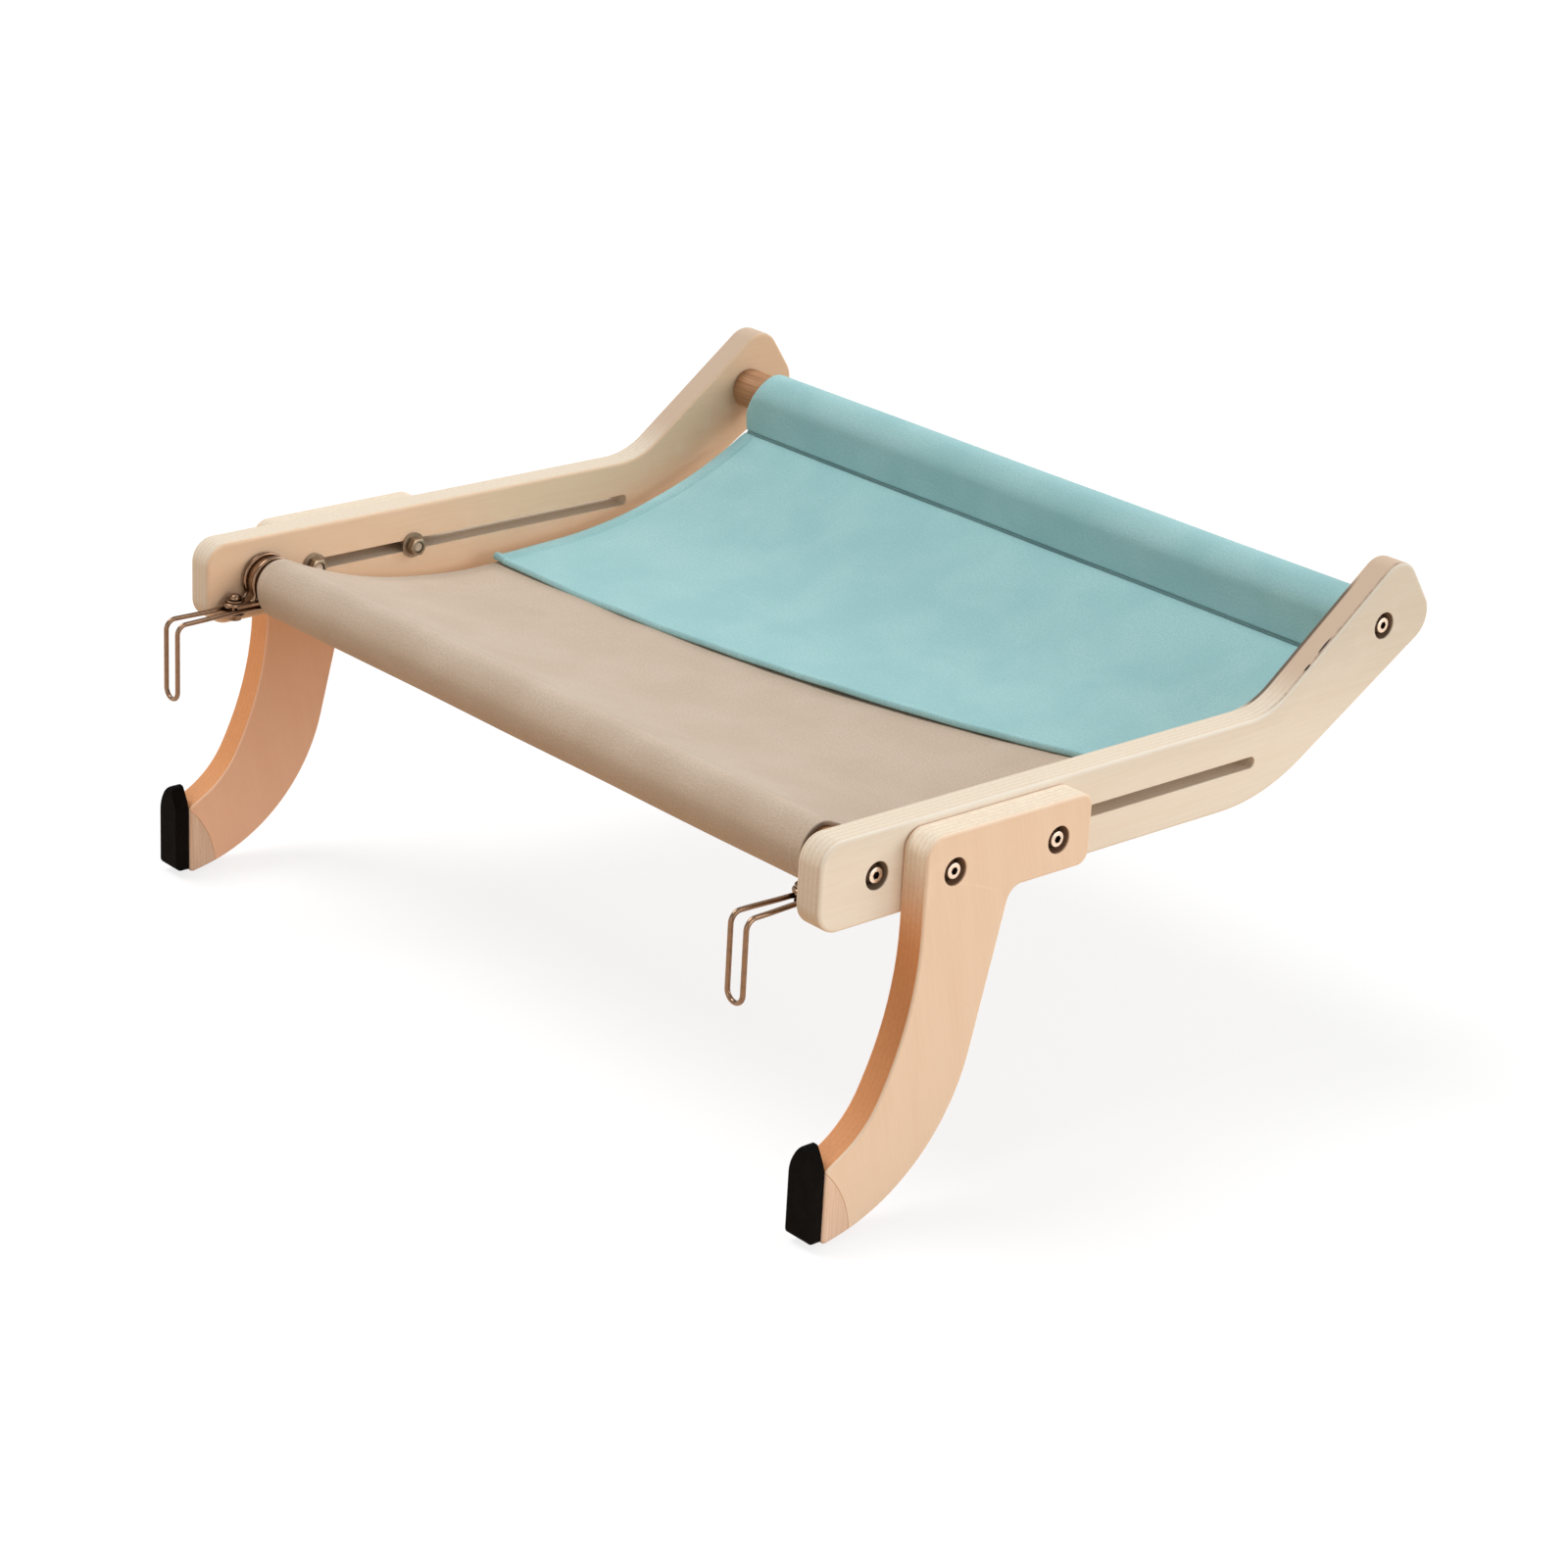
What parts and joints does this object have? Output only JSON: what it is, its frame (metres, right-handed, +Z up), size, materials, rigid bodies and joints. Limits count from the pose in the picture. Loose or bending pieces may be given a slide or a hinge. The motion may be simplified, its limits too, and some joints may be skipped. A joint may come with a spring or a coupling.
{
  "type": "cat window perch",
  "caption": "Cat window perch: a two-tone cloth sling between slotted plywood rails with upswept tails, sliding curved legs with black pads and double-strand wire sill hooks.",
  "frame": {"origin": "midway between the rails, at their front ends, on the plane of their undersides", "axes": "+X along the dowels towards the right rail, +Y from the window side to the raised rear end, +Z up"},
  "size_m": [0.5966, 0.4843, 0.2828],
  "materials": {
    "rail_birch": "clear matt birch plywood",
    "leg_wood": "clear matt plywood",
    "block_wood": "plain wood, vertical grain",
    "dowel_wood": "plain beech",
    "black_pad": "matt black pad",
    "beige_cloth": "smooth beige brushed cloth",
    "teal_cloth": "smooth teal brushed cloth",
    "nickel": "warm nickel plate",
    "dark_steel": "darkened steel",
    "brass": "plain brass"
  },
  "bodies": {
    "frame": {"base_sheet": "beige_cloth", "cover_sheet": "teal_cloth", "front_dowel": "dowel_wood", "left_front_dowel_bolt": "dark_steel", "left_front_dowel_bolt_washer": "dark_steel", "left_front_dowel_insert": "brass", "left_rear_dowel_bolt": "dark_steel", "left_rear_dowel_bolt_washer": "dark_steel", "left_rear_dowel_insert": "brass", "left_side_rail": "rail_birch", "rear_dowel": "dowel_wood", "right_front_dowel_bolt": "dark_steel", "right_front_dowel_bolt_washer": "dark_steel", "right_front_dowel_insert": "brass", "right_rear_dowel_bolt": "dark_steel", "right_rear_dowel_bolt_washer": "dark_steel", "right_rear_dowel_insert": "brass", "right_side_rail": "rail_birch"},
    "left_leg_slide": {"left_foot_block": "block_wood", "left_foot_pad": "black_pad", "left_leg": "leg_wood", "left_leg_front_bolt": "dark_steel", "left_leg_front_bolt_washer": "dark_steel", "left_leg_front_nut": "dark_steel", "left_leg_front_slide_washer": "dark_steel", "left_leg_rear_bolt": "dark_steel", "left_leg_rear_bolt_washer": "dark_steel", "left_leg_rear_nut": "dark_steel", "left_leg_rear_slide_washer": "dark_steel"},
    "right_leg_slide": {"right_foot_block": "block_wood", "right_foot_pad": "black_pad", "right_leg": "leg_wood", "right_leg_front_bolt": "dark_steel", "right_leg_front_bolt_washer": "dark_steel", "right_leg_front_nut": "dark_steel", "right_leg_front_slide_washer": "dark_steel", "right_leg_rear_bolt": "dark_steel", "right_leg_rear_bolt_washer": "dark_steel", "right_leg_rear_nut": "dark_steel", "right_leg_rear_slide_washer": "dark_steel"},
    "left_hook_swing": {"left_hook": "nickel", "left_hook_bolt": "nickel", "left_hook_lower_washer": "nickel", "left_hook_nut": "nickel", "left_hook_upper_washer": "nickel"},
    "right_hook_swing": {"right_hook": "nickel", "right_hook_bolt": "nickel", "right_hook_lower_washer": "nickel", "right_hook_nut": "nickel", "right_hook_upper_washer": "nickel"}
  },
  "joints": [
    {"name": "left_leg_slide_joint", "type": "slide", "parent": "frame", "child": "left_leg_slide", "axis": [0, 1, 0], "range_m": [0, 0.165]},
    {"name": "left_hook_joint", "type": "hinge", "parent": "frame", "child": "left_hook_swing", "pos_m": [-0.2545, 0.0386, 0.025], "axis": [1, 0, 0], "range_deg": [-90, 75]},
    {"name": "right_leg_slide_joint", "type": "slide", "parent": "frame", "child": "right_leg_slide", "axis": [0, 1, 0], "range_m": [0, 0.165]},
    {"name": "right_hook_joint", "type": "hinge", "parent": "frame", "child": "right_hook_swing", "pos_m": [0.2545, 0.0386, 0.025], "axis": [1, 0, 0], "range_deg": [-90, 75]}
  ]
}
